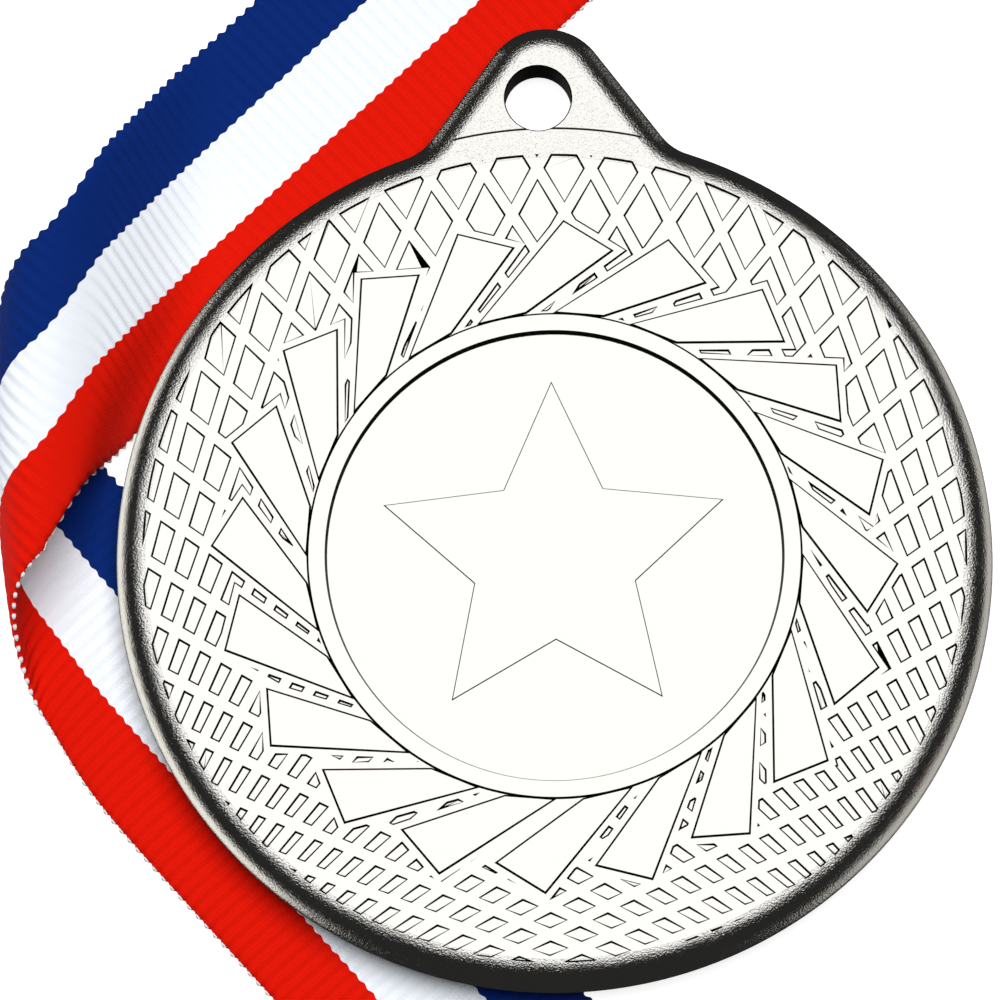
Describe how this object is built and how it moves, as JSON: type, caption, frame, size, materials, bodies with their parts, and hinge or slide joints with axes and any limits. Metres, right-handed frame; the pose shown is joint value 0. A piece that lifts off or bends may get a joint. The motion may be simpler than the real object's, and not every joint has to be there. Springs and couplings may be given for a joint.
{
  "type": "sports medal with neck ribbon",
  "caption": "Polished round sports medal with a holed tab, lying on its loose folded three-stripe woven neck ribbon.",
  "frame": {"origin": "centre of the medal disc's back face", "axes": "+Z out of the medal's face, +Y from the disc's centre to the tab, +X to the right seen from the face"},
  "size_m": [0.0756, 0.1508, 0.0069],
  "materials": {
    "ribbon": "ribbed woven ribbon in three equal stripes, blue, white and red",
    "thread": "white sewing thread",
    "medal": "polished bright nickel on a die-cast body",
    "wire": "polished nickel-plated wire"
  },
  "bodies": {
    "base": {"ribbon": "ribbon", "seam_thread": "thread"},
    "medal": {"medal_body": "medal"},
    "ring": {"ring_link": "wire"}
  },
  "joints": [
    {"name": "medal_lift", "type": "slide", "parent": "base", "child": "medal", "axis": [0, 0, 1], "range_m": [0, 0.03]},
    {"name": "ring_swing", "type": "hinge", "parent": "base", "child": "ring", "pos_m": [0.03465, -0.02463, 0.00468], "axis": [-1, 0, 0], "range_deg": [0, 170]}
  ]
}
